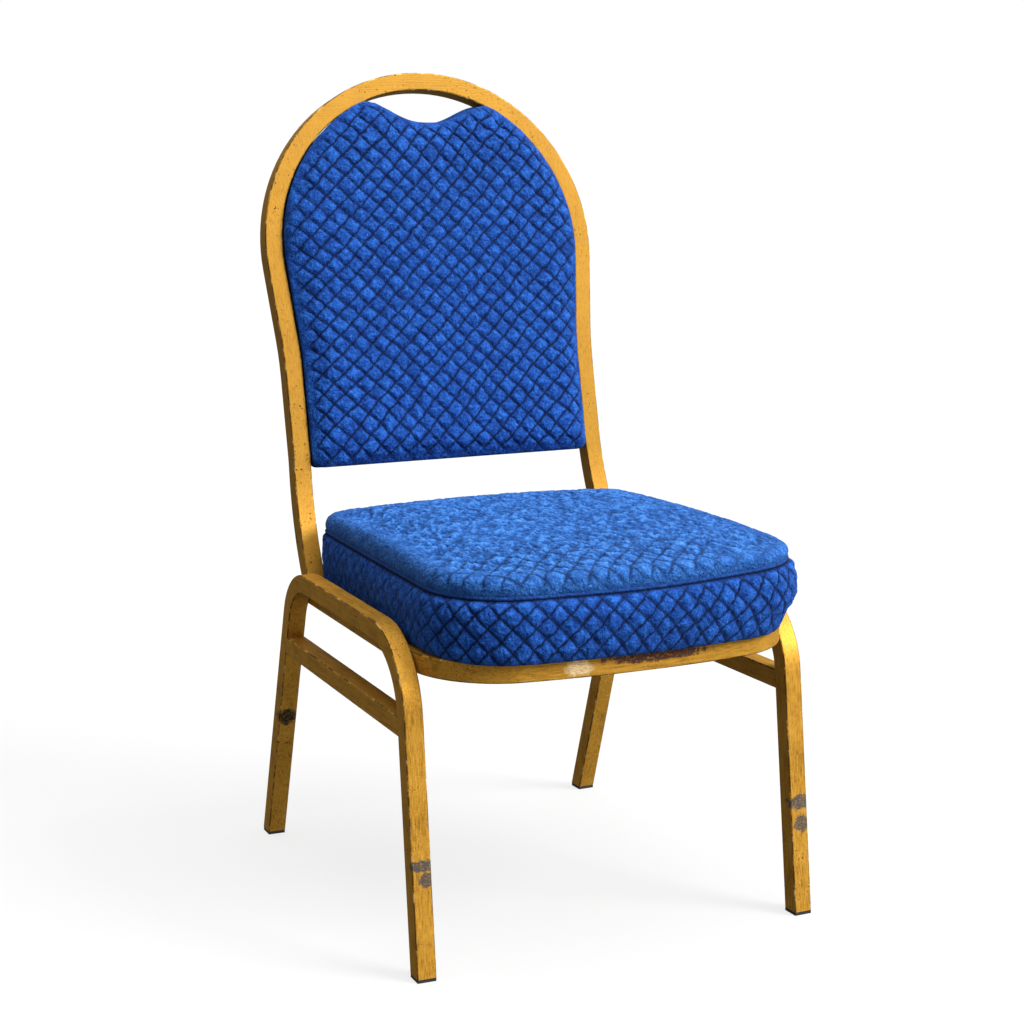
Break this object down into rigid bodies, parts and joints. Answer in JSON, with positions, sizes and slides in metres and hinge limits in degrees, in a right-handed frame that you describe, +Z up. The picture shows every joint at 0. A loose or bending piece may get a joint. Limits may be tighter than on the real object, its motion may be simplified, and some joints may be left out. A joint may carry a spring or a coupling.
{
  "type": "stacking chair",
  "caption": "Stacking banquet chair with a round-topped square-tube frame, a quilted back pad with a handle gap and a piped seat cushion.",
  "frame": {"origin": "centre of the overall box, at floor level", "axes": "+Z up, -Y the front of the chair, -X the left as seen from the front"},
  "size_m": [0.4862, 0.6396, 0.9446],
  "materials": {
    "gold_frame": "antique gold paint, brushed, worn and speckled",
    "seat_fabric": "royal blue crinkled velour",
    "band_fabric": "royal blue diamond-quilted velour",
    "back_fabric": "royal blue diamond-quilted velour",
    "rear_fabric": "royal blue velour, flat",
    "piping": "blue piping",
    "foam": "open-cell foam",
    "plywood": "raw birch plywood",
    "dust_cloth": "black non-woven cloth",
    "zinc_steel": "zinc plated",
    "glide_plastic": "black moulded plastic"
  },
  "bodies": {
    "root": {"back_hoop": "gold_frame", "leg_frame_left": "gold_frame", "leg_frame_right": "gold_frame", "side_brace_left": "gold_frame", "side_brace_right": "gold_frame", "seat_rail": "gold_frame", "rear_cross_rail": "gold_frame", "front_support_bar": "gold_frame", "rear_support_bar": "gold_frame", "back_tabs": "gold_frame", "seat_cover_top": "seat_fabric", "seat_cover_band": "band_fabric", "seat_piping": "piping", "back_cover_front": "back_fabric", "back_cover_rear": "rear_fabric", "seat_foam": "foam", "back_foam": "foam", "seat_board": "plywood", "back_board": "plywood", "seat_dust_cover": "dust_cloth", "seat_tee_nuts": "zinc_steel", "seat_screws": "zinc_steel", "seat_washers": "zinc_steel", "back_screws": "zinc_steel", "glide_front_left": "glide_plastic", "glide_front_right": "glide_plastic", "glide_rear_left": "glide_plastic", "glide_rear_right": "glide_plastic"}
  },
  "joints": []
}
